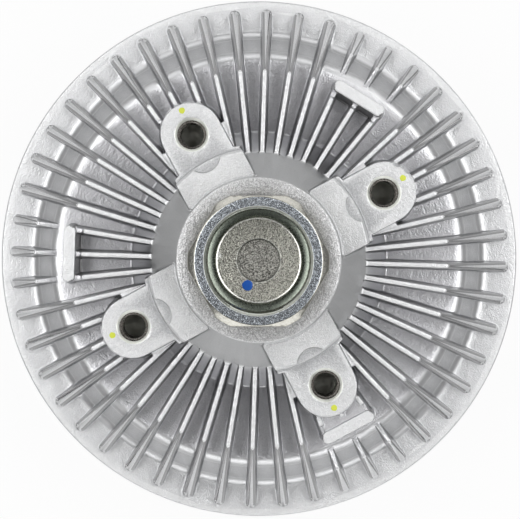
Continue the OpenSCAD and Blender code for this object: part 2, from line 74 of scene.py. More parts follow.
Colour = tuple[float, float, float]
Pair = tuple[float, float]
Inputs = dict[str | int, object]
Node, Socket, Tree = bpy.types.Node, bpy.types.NodeSocket, bpy.types.NodeTree
Object, Material = bpy.types.Object, bpy.types.Material
BMesh, Edge, Vert = bmesh.types.BMesh, bmesh.types.BMEdge, bmesh.types.BMVert

# sockets of a Mix node that mixes colours
MIX_SHARE, MIX_A, MIX_B, MIX_OUT = 0, 6, 7, 2

# grain of a casting: finer layers, shares and scales of its patterns, and the stretch that shows
FINE_DETAIL, FINE_SHARE = 1.5, 0.55
PEEL_DETAIL, PEEL_SHARE, PEEL_SCALE = 2.0, 0.45, 0.28
FLOW_DETAIL, FLOW_ROUGH = 4.0, 0.6
SPARKLE_RANGE = (0.38, 0.64)
FLOW_RANGE = (0.3, 0.7)

# pointiness of a flat face
LEVEL_POINT = 0.5


class Graph:
    """A node tree under construction."""

    per_row: int = 8
    spacing: Pair = (200, 220)

    def __init__(self, tree: Tree) -> None:
        """Empty a tree and start on it."""
        self.tree = tree
        tree.nodes.clear()

    def add(self, kind: str, inputs: Inputs | None = None, **settings: object) -> Node:
        """Add one node.

        Args:
            kind: the node's type name without its prefix, or a full type name.
            inputs: what its inputs take.
            settings: node properties by name.

        Returns:
            The new node.
        """
        name = kind if kind.startswith("Node") else "ShaderNode" + kind
        node = self.tree.nodes.new(name)
        row, column = divmod(len(self.tree.nodes), self.per_row)
        node.location = (self.spacing[0] * column, -self.spacing[1] * row)
        for key, value in settings.items():
            setattr(node, key, value)
        self.feed(node, inputs or {})
        return node

    def feed(self, node: Node, inputs: Inputs) -> None:
        """Set a node's inputs, or link other sockets to them.

        Args:
            node: the node.
            inputs: a number, a colour or an output socket for each input, by its name or index.
        """
        for name, source in inputs.items():
            socket = node.inputs[name]
            if isinstance(source, Socket):
                self.tree.links.new(source, socket)
            elif isinstance(source, tuple) and socket.type == "RGBA":
                socket.default_value = (*source[:3], 1.0)
            else:
                socket.default_value = source

    def group(self, tree: Tree, **values: float) -> Node:
        """Return a new node that places a shared effect, with its inputs set."""
        return self.add("Group", values, node_tree=tree)

    def math(self, operation: str, a: object, b: object = 0.0, clamp: bool = False) -> Socket:
        """Return the result of one arithmetic step, which a clamp holds from 0 to 1."""
        return self.add("Math", {0: a, 1: b}, operation=operation, use_clamp=clamp).outputs[0]

    def mix(self, share: object, a: object, b: object) -> Socket:
        """Return a mix of two colours, with a share of the second."""
        return self.add("Mix", {MIX_SHARE: share, MIX_A: a, MIX_B: b}, data_type="RGBA").outputs[MIX_OUT]

    def tint(self, tone: object, mask: Socket, share: float, colour: Colour) -> Socket:
        """Return a tone with a share of a colour laid over it where a mask shows."""
        return self.mix(self.math("MULTIPLY", mask, share), tone, colour)

    def spread(self, value: Socket, low: object, high: object, to: Pair = (0.0, 1.0)) -> Socket:
        """Return a value mapped from one range to another, and held at both ends."""
        return self.add("MapRange", dict(enumerate((value, low, high, *to)))).outputs[0]

    def noise(self, place: Socket, scale: object, detail: float, rough: float = 0.5) -> Socket:
        """Return a noise pattern from its repeats per metre and the number and weight of finer layers."""
        inputs = {"Vector": place, "Scale": scale, "Detail": detail, "Roughness": rough}
        return self.add("TexNoise", inputs).outputs[0]


def new_group(name: str, inputs: dict[str, float], outputs: Sequence[str]) -> tuple[Graph, Node, Node]:
    """Start a shader node group with number sockets.

    Args:
        name: the group's name.
        inputs: default of each number input, by name.
        outputs: names of the number outputs.

    Returns:
        The group's graph, its input node and its output node.
    """
    tree = bpy.data.node_groups.new(name, "ShaderNodeTree")
    graph = Graph(tree)
    for key, value in inputs.items():
        socket = tree.interface.new_socket(name=key, in_out="INPUT", socket_type="NodeSocketFloat")
        socket.default_value = value
    for key in outputs:
        tree.interface.new_socket(name=key, in_out="OUTPUT", socket_type="NodeSocketFloat")
    return graph, graph.add("NodeGroupInput"), graph.add("NodeGroupOutput")


@cache
def cast_grain_group() -> Tree:
    """Build the skin of a die casting: fine sparkle grain over soft flow marks.

    Returns:
        The group, with Height, Sparkle and Flow outputs.
    """
    graph, given, result = new_group(
        "cast_grain", {"Grain": 2600.0, "Flow": 90.0}, ("Height", "Sparkle", "Flow")
    )
    place = graph.add("TexCoord").outputs["Object"]
    grain = given.outputs["Grain"]
    fine = graph.noise(place, grain, FINE_DETAIL)
    peel = graph.noise(place, graph.math("MULTIPLY", grain, PEEL_SCALE), PEEL_DETAIL)
    flow = graph.noise(place, given.outputs["Flow"], FLOW_DETAIL, FLOW_ROUGH)
    fine_part = graph.math("MULTIPLY", fine, FINE_SHARE)
    peel_part = graph.math("MULTIPLY", peel, PEEL_SHARE)
    graph.feed(result, {"Height": graph.math("ADD", fine_part, peel_part)})
    graph.feed(result, {"Sparkle": graph.spread(fine, *SPARKLE_RANGE)})
    graph.feed(result, {"Flow": graph.spread(flow, *FLOW_RANGE)})
    return graph.tree


@cache
def edge_highlight_corner_shade_group() -> Tree:
    """Build a mask for painted highlights on convex edges and one for painted shade in hollow corners.

    Returns:
        The group, with Edge and Corner outputs.
    """
    graph, given, result = new_group("edge_highlight_corner_shade", {"Width": 0.06}, ("Edge", "CornerShade"))
    pointed = graph.add("NewGeometry").outputs["Pointiness"]
    high = graph.math("ADD", LEVEL_POINT, given.outputs["Width"])
    low = graph.math("SUBTRACT", LEVEL_POINT, given.outputs["Width"])
    graph.feed(result, {"Edge": graph.spread(pointed, LEVEL_POINT, high)})
    graph.feed(result, {"CornerShade": graph.spread(pointed, LEVEL_POINT, low)})
    return graph.tree


@dataclass(frozen=True)
class Finish:
    """A surface finish with a soft mottled skin, made into one material.

    It has a main colour and a dull one, a mean roughness, and a grain with its repeats per metre and its
    Die-cast aluminium with painted highlights on its convex edges and painted shade in its hollow corners.
    """

    name: str
    colour: Colour
    dull: Colour
    roughness: float
    grain: float
    depth: float
    metallic: ClassVar[float] = 0.0
    # roughness between the sparkles of the grain and on them: shares of the mean, and what is added
    rough_share: ClassVar[Pair] = (1.0, 1.0)
    rough_more: ClassVar[Pair] = (-0.1, 0.1)

    def rough(self) -> Pair:
        """Return the roughness between the sparkles of the grain and on them."""
        return tuple(self.roughness * share + more for share, more in zip(self.rough_share, self.rough_more))

    def tone(self, graph: Graph, skin: Node) -> Socket:
        """Return the colour as the grain mixes it."""
        return graph.mix(skin.outputs["Flow"], self.colour, self.dull)

    def material(self) -> Material:
        """Make the finish.

        Returns:
            The material.
        """
        mat = bpy.data.materials.new(self.name)
        mat.use_nodes = True
        graph = Graph(mat.node_tree)
        shader = graph.add("BsdfPrincipled", {"Metallic": self.metallic})
        skin = graph.group(cast_grain_group(), Grain=self.grain)
        bumps = {"Strength": 1.0, "Distance": self.depth * MM, "Height": skin.outputs["Height"]}
        graph.feed(shader, {"Normal": graph.add("Bump", bumps).outputs[0]})
        graph.feed(shader, {"Base Color": self.tone(graph, skin)})
        rough = graph.spread(skin.outputs["Sparkle"], 0.0, 1.0, self.rough())
        graph.feed(shader, {"Roughness": rough})
        graph.add("OutputMaterial", {"Surface": shader.outputs[0]})
        return mat


@dataclass(frozen=True)
class PlainMetal(Finish):
    """Rolled, ground or plated metal with fine scratches and spots."""

    flow: float = 0.6
    speckle: float = 0.0
    metallic: ClassVar[float] = 1.0
    rough_share: ClassVar[Pair] = (0.8, 1.25)
    rough_more: ClassVar[Pair] = (0.0, 0.0)

    def tone(self, graph: Graph, skin: Node) -> Socket:
        """Return the colour with its dull flow marks and speckles."""
        tone = graph.tint(self.colour, skin.outputs["Flow"], self.flow, self.dull)
        return graph.tint(tone, skin.outputs["Sparkle"], self.speckle, self.dull)


@dataclass(frozen=True)
class CastSkin(PlainMetal):
    """Die-cast aluminium with bright edges and dull corners."""

    flow: float = 0.3
    speckle: float = 0.2
    # rim: share of the painted highlight on convex edges; corner: share of the painted shade in hollow
    # corners
    rim: float = 0.6
    corner: ClassVar[float] = 0.4
    highlight_shade_width: ClassVar[float] = 0.035
    highlight_tone: ClassVar[Colour] = (0.95, 0.955, 0.96)
    rough_share: ClassVar[Pair] = (1.0, 1.0)
    rough_more: ClassVar[Pair] = (-0.06, 0.08)

    def tone(self, graph: Graph, skin: Node) -> Socket:
        """Lay painted shade in hollow corners and painted highlights on convex edges over the marks of the
        grain.

        Args:
            graph: the material's graph.
            skin: the grain's group node.

        Returns:
            The colour's socket.
        """
        highlight_and_shade = graph.group(edge_highlight_corner_shade_group(), Width=self.highlight_shade_width)
        tone = super().tone(graph, skin)
        tone = graph.tint(tone, highlight_and_shade.outputs["CornerShade"], self.corner, self.dull)
        return graph.tint(tone, highlight_and_shade.outputs["Edge"], self.rim, self.highlight_tone)


class Look(Enum):
    """Every finish on the part; some copies of the cast skin carry painted highlights or painted shade."""

    SKIN = CastSkin("cast_skin", (0.68, 0.685, 0.695), (0.52, 0.525, 0.54), 0.36, 2600.0, 0.06, 0.3, 0.05)
    FLOOR = CastSkin("channel_floor", (0.84, 0.84, 0.86), (0.60, 0.60, 0.62), 0.40, 2300.0, 0.24, 0.4, 0.25)
    # darker copy of the cast skin on the steep band under the crest: painted shade
    SLOPE_SHADE = CastSkin("sloped_band_painted_shade", (0.62, 0.625, 0.635), (0.48, 0.485, 0.495), 0.36, 2600.0, 0.10, rim=0.1)
    FIN_END = CastSkin(
        "fin_ends", (0.82, 0.825, 0.835), (0.60, 0.605, 0.615), 0.38, 2600.0, 0.20, 0.3, 0.3, rim=0.1
    )
    # dark copy of the cast skin on the shoulders of the fin ends: painted shade
    SHOULDER_SHADE = CastSkin(
        "fin_shoulders_painted_shade", (0.44, 0.44, 0.447), (0.31, 0.31, 0.316), 0.35, 2600.0, 0.06, 0.3, 0.08, rim=0.1
    )
    # dark copy of the cast skin on the inner sides of the closing bars: painted shade where the pockets are
    # occluded
    POCKET_SHADE = CastSkin(
        "closed_ends_painted_shade", (0.36, 0.36, 0.365), (0.26, 0.26, 0.265), 0.40, 2600.0, 0.06, 0.3, 0.1, rim=0.1
    )
    ROUND = CastSkin(
        "rounded_roots", (0.74, 0.745, 0.755), (0.62, 0.625, 0.635), 0.35, 2600.0, 0.01, 0.3, 0.05, rim=0.1
    )
    # darker copy of the cast skin on the upright walls: painted shade
    WALL_SHADE = CastSkin("drafted_wall_painted_shade", (0.50, 0.50, 0.51), (0.34, 0.34, 0.35), 0.34, 2600.0, 0.06, 0.3, 0.05)
    TOPS = CastSkin("flat_tops", (0.93, 0.935, 0.94), (0.70, 0.705, 0.72), 0.46, 2600.0, 0.26, 0.25, 0.2)
    BLAST = CastSkin("blasted_face", (0.78, 0.785, 0.79), (0.42, 0.425, 0.44), 0.42, 3000.0, 0.30, 0.2, 0.5)
    RING = CastSkin("boss_ring", (0.80, 0.80, 0.80), (0.10, 0.10, 0.102), 0.36, 3300.0, 0.26, 0.2, 0.65)
    # brownish tone of the tapped holes, darkened with painted shade
    TAPPED_SHADE = CastSkin(
        "tapped_hole", (0.42, 0.40, 0.375), (0.32, 0.305, 0.285), 0.26, 2600.0, 0.01, 0.3, 0.05, rim=0.1
    )
    CONE = CastSkin(
        "boss_cone", (0.56, 0.565, 0.57), (0.46, 0.465, 0.47), 0.40, 2600.0, 0.03, 0.3, 0.1, rim=0.2
    )
    COVER = CastSkin("cover_skin", (0.84, 0.845, 0.85), (0.60, 0.605, 0.62), 0.42, 2600.0, 0.05)
    HEX = PlainMetal("plated_hexagon", (0.48, 0.47, 0.43), (0.40, 0.40, 0.36), 0.20, 1500.0, 0.03)
    MOUTH = PlainMetal("turned_chamfer", (0.90, 0.91, 0.86), (0.78, 0.80, 0.74), 0.48, 1500.0, 0.02)
    # bright cream colour on the disc's rolled rim: painted highlight
    RIM_HIGHLIGHT = PlainMetal("disc_rim_painted_highlight", (0.94, 0.93, 0.88), (0.84, 0.83, 0.78), 0.30, 1500.0, 0.02)
    HEX_END = PlainMetal("plated_end", (0.76, 0.80, 0.85), (0.28, 0.315, 0.35), 0.22, 3400.0, 0.17, 0.3, 0.7)
    BORE = PlainMetal("plated_bore", (0.64, 0.67, 0.61), (0.52, 0.55, 0.49), 0.20, 1500.0, 0.01)
    # greenish plating of the groove floor, darkened with painted shade
    GROOVE_SHADE = PlainMetal("plated_groove_painted_shade", (0.27, 0.30, 0.255), (0.21, 0.235, 0.20), 0.28, 1500.0, 0.01)
    FORGED = CastSkin(
        "forged_disc", (0.76, 0.75, 0.67), (0.04, 0.04, 0.034), 0.34, 3200.0, 0.33, 0.3, 0.85, rim=0.5
    )
    # forged grain on the sunk centre, darker than the disc: painted shade
    SUNK_SHADE = CastSkin(
        "sunk_centre_painted_shade", (0.62, 0.61, 0.56), (0.03, 0.03, 0.026), 0.34, 3000.0, 0.34, 0.3, 0.9, rim=0.5
    )
    ROTOR = PlainMetal("rotor_aluminium", (0.80, 0.81, 0.82), (0.68, 0.69, 0.70), 0.32, 1500.0, 0.02)
    RACE = PlainMetal("bearing_steel", (0.62, 0.63, 0.65), (0.54, 0.55, 0.57), 0.20, 1500.0, 0.01)
    BALL = PlainMetal("ball_steel", (0.72, 0.72, 0.74), (0.68, 0.68, 0.70), 0.08, 1500.0, 0.0)
    CAGE = Finish("cage_polymer", (0.62, 0.52, 0.32), (0.55, 0.45, 0.27), 0.55, 1200.0, 0.02)
    VALVE = PlainMetal("valve_steel", (0.60, 0.61, 0.63), (0.50, 0.51, 0.53), 0.30, 1500.0, 0.02)
    BIMETAL = PlainMetal("bimetal_strip", (0.66, 0.58, 0.44), (0.54, 0.47, 0.34), 0.26, 1500.0, 0.02)
    RUBBER = Finish("seal_rubber", (0.03, 0.03, 0.032), (0.05, 0.05, 0.052), 0.55, 1200.0, 0.03)
    BLUE = Finish("blue_paint", (0.0, 0.11, 0.60), (0.0, 0.14, 0.66), 0.45, 1200.0, 0.01)
    YELLOW = Finish("yellow_paint", (0.76, 0.82, 0.09), (0.68, 0.75, 0.07), 0.45, 1200.0, 0.01)


@cache
def paint(look: Look) -> Material:
    """Return the material of a finish, made when it is first used."""
    return look.value.material()


def within(value: float, span: Pair) -> bool:
    """Tell whether a value lies between two others."""
    return span[0] < value < span[1]


def slot_of(node: str) -> str:
    """Return the material slot of a solid."""
    return next(part["material_slot"] for part in frame["record"]["subparts"] if part["node"] == node)


def mount(name: str) -> dict:
    """Return one of the part's mounts by name."""
    return next(m for m in frame["record"]["mounts"] if m["name"] == name)


def placed(name: str, data: bpy.types.ID) -> Object:
    """Put a mesh, lamp or camera into the scene.

    Args:
        name: the new object's name.
        data: what it shows.

    Returns:
        The object.
    """
    obj = bpy.data.objects.new(name, data)
    bpy.context.collection.objects.link(obj)
    return obj


def piece_of(name: str, bm: BMesh) -> Object:
    """Make a smooth piece from an edited mesh, which it frees.

    Args:
        name: the new piece's name.
        bm: the edited mesh.

    Returns:
        The piece.
    """
    mesh = bpy.data.meshes.new(name)
    bm.to_mesh(mesh)
    bm.free()
    mesh.polygons.foreach_set("use_smooth", [True] * len(mesh.polygons))
    return placed(name, mesh)


def spun(name: str, outline: Sequence[Pair], turns: int) -> Object:
    """Spin a closed outline about the part's axis.

    Args:
        name: the new piece's name.
        outline: radius and height of each corner, in millimetres.
        turns: number of steps round the axis.

    Returns:
        The piece.
    """
    bm = bmesh.new()
    angles = [2 * math.pi * i / turns for i in range(turns)]
    loops = []
    for r, z in outline:
        loops.append([bm.verts.new((r * math.cos(a) * MM, r * math.sin(a) * MM, z * MM)) for a in angles])
    for low, high in zip(loops, loops[1:] + loops[:1]):
        for i in range(turns):
            j = (i + 1) % turns
            bm.faces.new((low[i], high[i], high[j], low[j]))
    bmesh.ops.recalc_face_normals(bm, faces=bm.faces)
    piece = piece_of(name, bm)
    piece.data.set_sharp_from_angle(angle=SHARP_ANGLE)
    return piece


@dataclass(frozen=True)
class Thread:
    """Inner thread that takes the place of a bore's plain wall, in millimetres."""

    x: float
    y: float
    minor_r: float
    depth: float
    pitch: float
    low_z: float
    high_z: float
    mouth_slope: float
    columns: int = 48
    steps: int = 6
    margin: float = 0.1
    # where the root's flat ends and the crest's begins, as shares of half a pitch
    root_to: float = 0.25
    crest_from: float = 0.875
    # lengths over which the thread runs in and out, as shares of the pitch
    run_in: float = 0.6
    run_out: float = 0.5
    reach: float = 0.05
    wall_slack: float = 0.03
    wall_tilt: float = 0.2
    weld: float = 1e-4

    def off_axis(self, point: Vector) -> float:
        """Return a point's distance from the thread's axis, in millimetres."""
        return math.hypot(point.x / MM - self.x, point.y / MM - self.y)

    def mouth_z(self) -> float:
        """Return the height at which the thread's root runs out of its mouth chamfer."""
        return self.high_z + self.depth * self.mouth_slope

    def holds(self, point: Vector) -> bool:
        """Tell whether a point is on the thread or its bore's wall."""
        inside = self.low_z - self.reach < point.z / MM < self.mouth_z() + self.reach
        return inside and self.off_axis(point) < self.minor_r + self.depth + self.reach

    def on_wall(self, vert: Vert) -> bool:
        """Tell whether a corner is on the bore's plain wall."""
        return self.holds(vert.co) and abs(self.off_axis(vert.co) - self.minor_r) < self.wall_slack

    def tooth(self, phase: float) -> float:
        """Return the thread's depth, from 0 at the crest to 1 at the root, at a share of its pitch."""
        away = abs(phase - 0.5) * 2
        return min(1.0, max(0.0, (self.crest_from - away) / (self.crest_from - self.root_to)))

    def helix(self, bm: BMesh) -> list[Vert]:
        """Add the thread's surface, in rows that climb with it.

        Args:
            bm: the mesh to add it to.

        Returns:
            The new corners.
        """
        low, high = self.low_z + self.margin, self.mouth_z() - self.margin
        rise = self.pitch / self.steps
        rows = math.ceil((high - low) / rise) + 2 * self.steps + 1
        grid = []
        for j in range(rows):
            row = []
            for i in range(self.columns):
                turn = i / self.columns
                z = min(high, max(low, low + self.pitch * (turn - 1) + j * rise))
                start = min(1.0, (z - low) / (self.run_in * self.pitch))
                end = min(1.0, (high - z) / (self.run_out * self.pitch))
                deep = 1 - end * (1 - self.tooth(j % self.steps / self.steps))
                r = self.minor_r + self.depth * start * deep
                angle = 2 * math.pi * turn
                row.append(bm.verts.new((
                    (self.x + r * math.cos(angle)) * MM, (self.y + r * math.sin(angle)) * MM, z * MM
                )))
            grid.append(row)
        for j in range(rows - 1 - self.steps):
            for i in range(self.columns):
                wrap = i + 1 == self.columns
                side = grid[j + self.steps][0] if wrap else grid[j][i + 1]
                above = grid[j + 1 + self.steps][0] if wrap else grid[j + 1][i + 1]
                bm.faces.new((grid[j][i], side, above, grid[j + 1][i]))
        return [vert for row in grid for vert in row]

    def cut(self, bm: BMesh) -> None:
        """Swap the bore's plain wall for the thread.

        Args:
            bm: the mesh that has the bore.
        """
        upright = [f for f in bm.faces if abs(f.normal.z) < self.wall_tilt]
        wall = [f for f in upright if all(self.on_wall(v) for v in f.verts)]
        bmesh.ops.delete(bm, geom=wall, context="FACES")
        rims = [e for e in bm.edges if e.is_boundary and all(self.on_wall(v) for v in e.verts)]
        middle = (self.low_z + self.high_z) / 2 * MM
        grow = 1 + self.depth / self.minor_r
        for vert in {v for e in rims for v in e.verts if v.co.z > middle}:
            vert.co.x = self.x * MM + (vert.co.x - self.x * MM) * grow
            vert.co.y = self.y * MM + (vert.co.y - self.y * MM) * grow
            vert.co.z = self.mouth_z() * MM
        new = self.helix(bm)
        bmesh.ops.remove_doubles(bm, verts=new, dist=self.weld * MM)
        loose = [v for v in new if v.is_valid and not v.link_faces]
        bmesh.ops.delete(bm, geom=loose, context="VERTS")
        known = {v for v in new if v.is_valid}
        rings = [e for e in bm.edges if e.is_boundary and all(v in known for v in e.verts)]
        for upper in (False, True):
            ends = [e for e in rims + rings if (e.verts[0].co.z > middle) == upper]
            bmesh.ops.bridge_loops(bm, edges=ends)


@dataclass
class RoundedCopy:
    """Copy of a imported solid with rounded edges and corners, in millimetres and degrees."""

    node: str
    outer_r: float
    inner_r: float
    least_angle: float = 25.0
    tight: float = 0.1
    threads: Sequence[Thread] = ()
    weld: float = 0.02
    least_edge: float = 0.05
    # angle in radians below which two faces count as one
    flat_angle: float = 0.006
    straight: float = 130.0
    room_share: float = 0.4
    segments: int = 2

    def widest(self) -> float:
        """Return the larger of the two radii."""
        return max(self.outer_r, self.inner_r)

    def start(self) -> BMesh:
        """Copy the solid's mesh, with the triangles of each flat face joined up.

        Returns:
            The mesh to work on.
        """
        bm = bmesh.new()
        bm.from_mesh(frame["nodes"][self.node].data)
        bmesh.ops.remove_doubles(bm, verts=bm.verts, dist=self.weld * MM)
        for thread in self.threads:
            thread.cut(bm)
        inner = [e for e in bm.edges if e.calc_face_angle(math.pi) < self.flat_angle]
        for edge in sorted(inner, key=lambda e: -e.calc_length()):
            if edge.is_valid and len(set(edge.link_faces)) == 2:
                bmesh.utils.face_join(list(edge.link_faces), True)
        bmesh.ops.dissolve_limit(bm, angle_limit=self.flat_angle, verts=bm.verts, edges=[])
        bmesh.ops.dissolve_degenerate(bm, dist=self.least_edge * MM, edges=bm.edges)
        bmesh.ops.recalc_face_normals(bm, faces=bm.faces)
        return bm

    def room(self, edge: Edge) -> float:
        """Measure the narrower face beside an edge.

        Args:
            edge: the edge.

        Returns:
            The face's width across the edge, in millimetres.
        """
        foot, along = edge.verts[0].co, (edge.verts[1].co - edge.verts[0].co).normalized()
        widths = [max((v.co - foot).cross(along).length for v in f.verts) for f in edge.link_faces]
        return min(widths) / MM

    def wanted(self, bm: BMesh) -> dict[Edge, float]:
        """Pick the edges to round.

        Args:
            bm: the mesh.

        Returns:
            The radius of each picked edge, below zero where the edge is a hollow one.
        """
        least = math.radians(self.least_angle)
        picked = {}
        for edge in bm.edges:
            if len(edge.link_faces) != 2:
                continue
            if any(all(t.holds(v.co) for v in edge.verts) for t in self.threads):
                continue
            angle = edge.calc_face_angle_signed(0.0)
            if abs(angle) > least:
                picked[edge] = self.outer_r if angle > 0 else -self.inner_r
        return picked

    def chains(self, picked: dict[Edge, float]) -> list[list[Edge]]:
        """Gather the picked edges into runs that go on without a corner.

        Args:
            picked: the radius of each picked edge.

        Returns:
            The runs.
        """
        straight = math.radians(self.straight)
        runs: list[list[Edge]] = []
        left = dict.fromkeys(picked)
        while left:
            run = [left.popitem()[0]]
            for edge in run:
                for vert in edge.verts:
                    away = edge.other_vert(vert).co - vert.co
                    for other in vert.link_edges:
                        if other not in left or picked[other] * picked[edge] < 0:
                            continue
                        onward = other.other_vert(vert).co - vert.co
                        if away.length and onward.length and away.angle(onward) > straight:
                            del left[other]
                            run.append(other)
            runs.append(run)
        return runs

    def weigh(self, bm: BMesh) -> None:
        """Mark the edges to round and how much, with one width along a run.

        Args:
            bm: the mesh.
        """
        layer = bm.edges.layers.float.new("bevel_weight_edge")
        picked = self.wanted(bm)
        for run in self.chains(picked):
            rooms = sorted((self.room(edge), edge.calc_length()) for edge in run)
            passed, whole = 0.0, sum(length for _, length in rooms)
            for room, length in rooms:
                passed += length
                if passed >= self.tight * whole:
                    break
            width = min(abs(picked[run[0]]), self.room_share * room)
            for edge in run:
                edge[layer] = width / self.widest()

    def build(self, name: str) -> Object:
        """Make the rounded piece.

        Args:
            name: the new piece's name.

        Returns:
            The piece.
        """
        bm = self.start()
        self.weigh(bm)
        obj = piece_of(name, bm)
        mesh = obj.data
        bevel = obj.modifiers.new("rounding", "BEVEL")
        bevel.limit_method = "WEIGHT"
        bevel.width = self.widest() * MM
        bevel.segments = self.segments
        bevel.use_clamp_overlap = False
        bevel.loop_slide = False
        normals = obj.modifiers.new("flat faces", "WEIGHTED_NORMAL")
        normals.keep_sharp = True
        graph = bpy.context.evaluated_depsgraph_get()
        done = bpy.data.meshes.new_from_object(obj.evaluated_get(graph))
        obj.modifiers.clear()
        obj.data = done
        bpy.data.meshes.remove(mesh)
        done.name = name
        return obj


@dataclass(frozen=True)
class Spot:
    """A face's middle in millimetres and its normal, as they stand to the part's axis."""

    place: Vector
    normal: Vector

    @property
    def r(self) -> float:
        """Return the distance from the axis."""
        return math.hypot(self.place.x, self.place.y)

    @property
    def outward(self) -> float:
        """Return how much the face looks away from the axis, from -1 to 1."""
        return (self.normal.x * self.place.x + self.normal.y * self.place.y) / self.r

    @property
    def across(self) -> float:
        """Return how much the face looks along its circle, either way, from 0 to 1."""
        return abs(self.normal.y * self.place.x - self.normal.x * self.place.y) / self.r


def dress_zones(obj: Object, looks: Sequence[Look], zone: Callable[[Spot], Look]) -> None:
    """Give each face of a piece the finish of its zone.

    Args:
        obj: the piece.
        looks: every finish on the piece.
        zone: picks a face's finish.
    """
    for look in looks:
        obj.data.materials.append(paint(look))
    for face in obj.data.polygons:
        face.material_index = looks.index(zone(Spot(face.center / MM, face.normal)))


def stand_for(obj: Object, node: str) -> None:
    """Let a piece stand for the solid it was copied from.

    Args:
        obj: the piece.
        node: the solid's name.
    """
    bodies = frame["record"]["behaviour"]["bodies"]
    body = next(name for name, members in bodies.items() if node in members)
    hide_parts(node)
    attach(obj, body)
    LOG.info("built %s on %s", obj.name, body)


@dataclass
class PaintDot:
    """Dab of marking paint on a level or dished face, in millimetres."""

    name: str
    x: float
    y: float
    z: float
    radius: float
    look: Look
    rise: Callable[[float], float] = field(default=lambda r: 0.0)
    height: float = 0.12
    sunk: float = 0.1
    rings: int = 8
    columns: int = 36
    # shares of the radius by which its edge waves, three and five times round
    waves: Pair = (0.03, 0.02)

    def edge(self, angle: float) -> float:
        """Return the dab's uneven radius at an angle in radians."""
        three, five = self.waves
        return self.radius * (1 + three * math.sin(3 * angle + self.x) + five * math.sin(5 * angle + self.y))

    def build(self, body: str, slot: str) -> None:
        """Make the dab.

        Args:
            body: the body it moves with.
            slot: the material slot under it; not used.
        """
        bm = bmesh.new()
        loops = []
        for i in range(self.rings + 1):
            share = 1 - i / (self.rings + 1)
            lift = -self.sunk if i == 0 else self.height * math.sqrt(1 - share ** 2)
            loop = []
            for j in range(self.columns):
                angle = 2 * math.pi * j / self.columns
                r = share * self.edge(angle)
                x, y = self.x + r * math.cos(angle), self.y + r * math.sin(angle)
                z = self.z + self.rise(math.hypot(x, y)) + lift
                loop.append(bm.verts.new((x * MM, y * MM, z * MM)))
            loops.append(loop)
        for low, high in zip(loops, loops[1:]):
            for j in range(self.columns):
                k = (j + 1) % self.columns
                bm.faces.new((low[j], low[k], high[k], high[j]))
        bm.faces.new(loops[-1])
        bm.faces.new(reversed(loops[0]))
        obj = piece_of(self.name, bm)
        obj.data.materials.append(paint(self.look))
        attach(obj, body)
        LOG.info("dabbed %s", self.name)


